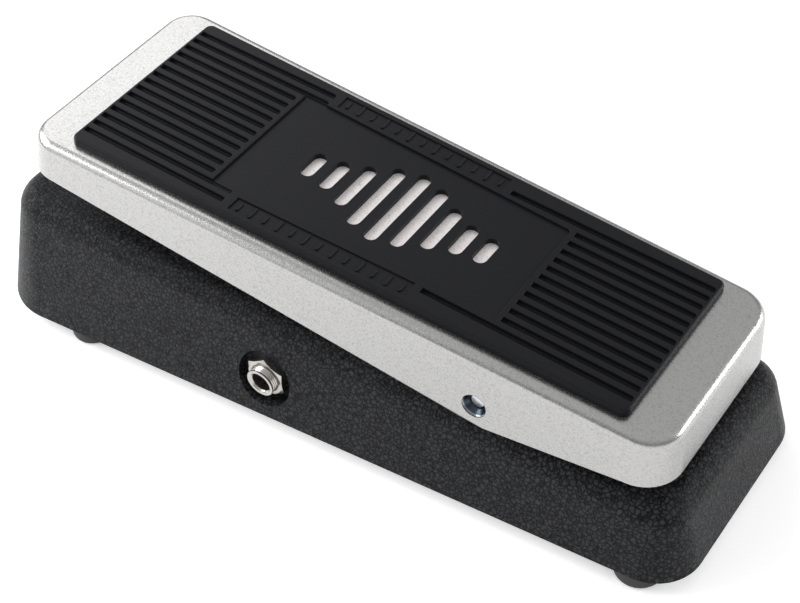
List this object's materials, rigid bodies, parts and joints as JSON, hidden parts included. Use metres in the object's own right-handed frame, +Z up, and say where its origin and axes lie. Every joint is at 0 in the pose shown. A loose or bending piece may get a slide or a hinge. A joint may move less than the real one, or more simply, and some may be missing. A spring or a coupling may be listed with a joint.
{
  "type": "guitar effects pedal",
  "caption": "Rocker-type wah filter pedal: cast wedge housing, rocking chromed treadle with ribbed rubber pad, rack-driven control, footswitch and side sockets.",
  "frame": {"origin": "on the floor, at the centre of the pedal's bounding box seen from above", "axes": "+Y to the toe end, +X to the player's right, +Z up"},
  "size_m": [0.1, 0.252, 0.0766],
  "materials": {
    "wrinkle_paint": "black crinkle paint on cast aluminium",
    "satin_chrome": "satin chrome plate on a sandblasted aluminium casting",
    "pad_rubber": "moulded matt rubber",
    "foot_rubber": "matt rubber",
    "zinc_steel": "zinc plated sheet steel",
    "bright_steel": "ground bright steel",
    "black_steel": "blackened steel",
    "nickel": "nickel plate",
    "nylon": "natural nylon",
    "brass": "tinned brass",
    "blue_plastic": "moulded thermoset",
    "black_plastic": "moulded plastic",
    "board": "phenolic circuit board",
    "inductor_red": "dipped inductor core",
    "film_red": "dipped film capacitor",
    "can_blue": "sleeved can",
    "resistor_tan": "lacquered resistor body",
    "battery_wrap": "plain wrapped nine volt cell block",
    "wire_plastic": "insulated hookup wire"
  },
  "bodies": {
    "base": {"base_housing": "wrinkle_paint", "pivot_pedestal": "wrinkle_paint", "bottom_plate": "zinc_steel", "rubber_feet": "foot_rubber", "foot_screws": "zinc_steel", "pivot_bushes": "nylon", "friction_plug": "nylon", "tension_screw": "black_steel", "rack_guide": "nylon", "pot_case": "zinc_steel", "pot_lugs": "brass", "pot_nut": "nickel", "pot_bracket": "zinc_steel", "pot_bracket_screws": "zinc_steel", "footswitch_case": "blue_plastic", "footswitch_bushing": "nickel", "footswitch_lugs": "brass", "footswitch_washer": "nickel", "footswitch_nut": "nickel", "output_jack": "nickel", "output_jack_contacts": "brass", "output_jack_nut": "nickel", "input_jack": "nickel", "input_jack_contacts": "brass", "input_jack_nut": "nickel", "power_jack": "black_plastic", "power_jack_pin": "brass", "circuit_board": "board", "board_screws": "zinc_steel", "inductor": "inductor_red", "film_capacitors": "film_red", "electrolytic_capacitor": "can_blue", "resistors": "resistor_tan", "transistors": "black_plastic", "battery": "battery_wrap", "battery_clip": "black_plastic", "battery_foam": "foot_rubber", "hookup_wires": "wire_plastic"},
    "treadle": {"treadle": "satin_chrome", "rubber_pad": "pad_rubber", "pivot_shaft": "bright_steel", "shaft_grub_screws": "black_steel", "rack_bracket": "zinc_steel", "rack_bracket_screws": "zinc_steel", "rack_pin": "bright_steel", "toe_bumper": "foot_rubber", "heel_bumpers": "foot_rubber"},
    "rack": {"toothed_rack": "nylon"},
    "pinion": {"pinion_gear": "nylon", "pinion_grub_screw": "black_steel", "pot_shaft": "bright_steel"},
    "plunger": {"footswitch_plunger": "nickel"}
  },
  "joints": [
    {"name": "treadle_hinge", "type": "hinge", "parent": "base", "child": "treadle", "pos_m": [0, -0.0589, 0.0422], "axis": [1, 0, 0], "range_deg": [-5.5, 6.5]},
    {"name": "rack_hinge", "type": "hinge", "parent": "treadle", "child": "rack", "pos_m": [0, -0.01, 0.0422], "axis": [1, 0, 0], "range_deg": [-6.6, 5.6]},
    {"name": "pinion_spin", "type": "hinge", "parent": "base", "child": "pinion", "pos_m": [0, 0.0012, 0.021], "axis": [1, 0, 0], "range_deg": [-45, 38]},
    {"name": "footswitch_press", "type": "slide", "parent": "base", "child": "plunger", "axis": [0, 0, -1], "range_m": [0, 0.0025], "stiffness_N_per_m": 3000}
  ],
  "couplings": [
    {"joint": "rack_hinge", "follows": "treadle_hinge", "ratio": -1},
    {"joint": "pinion_spin", "follows": "treadle_hinge", "ratio": -6.7917}
  ]
}
